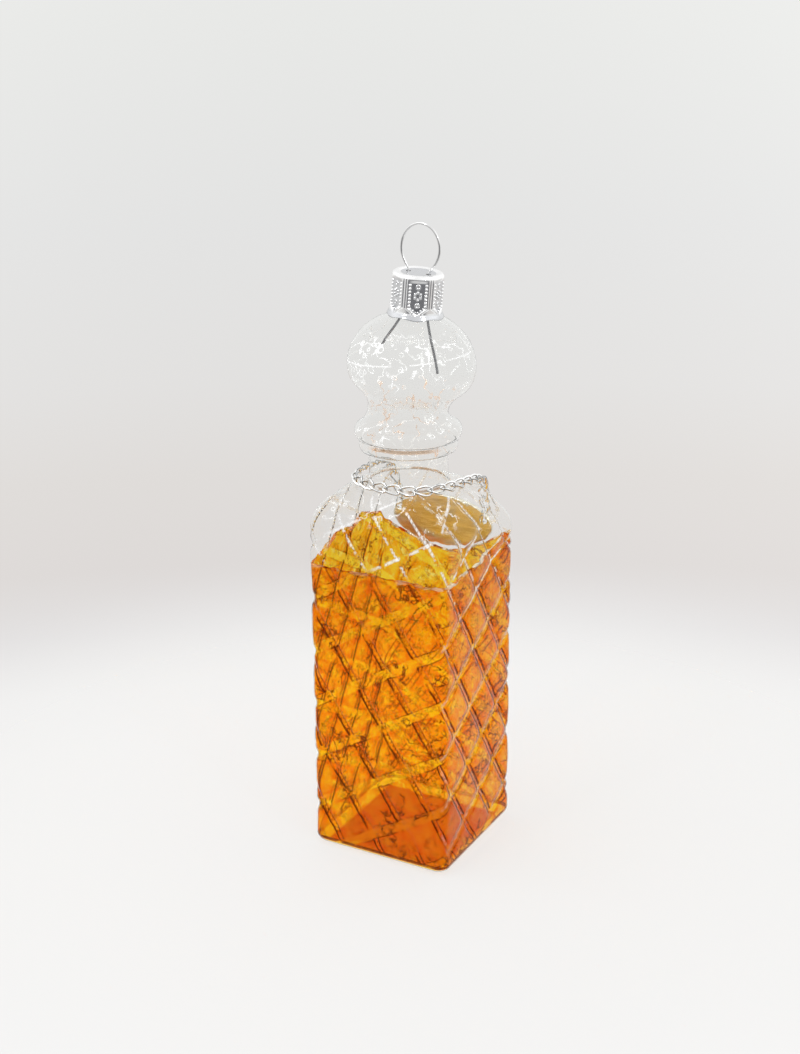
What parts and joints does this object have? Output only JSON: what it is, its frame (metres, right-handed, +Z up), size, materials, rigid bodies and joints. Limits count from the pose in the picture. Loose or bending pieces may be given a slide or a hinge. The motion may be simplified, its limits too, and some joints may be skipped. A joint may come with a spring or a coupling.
{
  "type": "decanter ornament",
  "caption": "Hanging ornament in the form of a square lattice-cut decanter: hollow glass with an amber lining, pressed cap, wire loop, curb chain and bare oval label.",
  "frame": {"origin": "centre of the base, on the surface that the ornament stands on", "axes": "+Z up through the neck, the label hangs on the +Y face"},
  "size_m": [0.0374, 0.0415, 0.1546],
  "materials": {
    "clear_glass": "gloss, blown, slightly wavy",
    "amber_lacquer": "gloss, transparent",
    "pressed_silver": "bright, pressed with beads and rosettes",
    "silver_wire": "bright",
    "silver_chain": "bright",
    "label_metal": "bright, bare"
  },
  "bodies": {
    "root": {"glass_vessel": "clear_glass", "amber_lining": "amber_lacquer", "jump_ring_left": "silver_chain", "jump_ring_right": "silver_chain", "chain_link_01": "silver_chain", "chain_link_02": "silver_chain", "chain_link_03": "silver_chain", "chain_link_04": "silver_chain", "chain_link_05": "silver_chain", "chain_link_06": "silver_chain", "chain_link_07": "silver_chain", "chain_link_08": "silver_chain", "chain_link_09": "silver_chain", "chain_link_10": "silver_chain", "chain_link_11": "silver_chain", "chain_link_12": "silver_chain", "chain_link_13": "silver_chain", "chain_link_14": "silver_chain", "chain_link_15": "silver_chain", "chain_link_16": "silver_chain", "chain_link_17": "silver_chain", "chain_link_18": "silver_chain", "chain_link_19": "silver_chain", "chain_link_20": "silver_chain", "chain_link_21": "silver_chain", "chain_link_22": "silver_chain", "chain_link_23": "silver_chain", "chain_link_24": "silver_chain", "chain_link_25": "silver_chain", "chain_link_26": "silver_chain"},
    "cap": {"crown_cap": "pressed_silver"},
    "hanger": {"hanger_loop": "silver_wire", "hanger_leg_left": "silver_wire", "hanger_leg_right": "silver_wire"},
    "label": {"label_plate": "label_metal"}
  },
  "joints": [
    {"name": "cap_lift", "type": "slide", "parent": "root", "child": "cap", "axis": [0.0872, 0, 0.9962], "range_m": [0, 0.026], "deforming": ["hanger_leg_left", "hanger_leg_right"]},
    {"name": "hanger_tilt", "type": "hinge", "parent": "cap", "child": "hanger", "pos_m": [0.00186, 0, 0.14311], "axis": [0.9962, 0, -0.0872], "range_deg": [-12, 12]},
    {"name": "label_swing", "type": "hinge", "parent": "root", "child": "label", "pos_m": [-0.0028, 0.0209, 0.0797], "axis": [1, 0, 0], "range_deg": [0, 30]}
  ]
}
